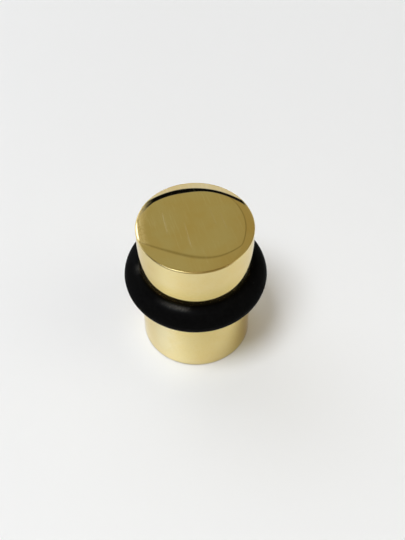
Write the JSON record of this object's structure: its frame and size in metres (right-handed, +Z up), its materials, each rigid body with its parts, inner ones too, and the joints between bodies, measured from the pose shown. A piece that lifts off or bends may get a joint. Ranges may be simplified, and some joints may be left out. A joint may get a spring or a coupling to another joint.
{
  "type": "rigid floor door stop",
  "caption": "Solid turned brass cylinder with a thick black rubber ring seated in a groove round its upper half and a tapped hole in its foot.",
  "frame": {"origin": "centre of the foot, on the floor", "axes": "+Z up the axis of the cylinder; the part is the same all round, so X and Y are free"},
  "size_m": [0.0382, 0.0382, 0.042],
  "materials": {
    "polished_brass": "turned and polished, bare brass with fine polishing marks",
    "black_rubber": "moulded solid rubber, satin"
  },
  "bodies": {
    "root": {"brass_body": "polished_brass", "rubber_ring": "black_rubber"}
  },
  "joints": []
}
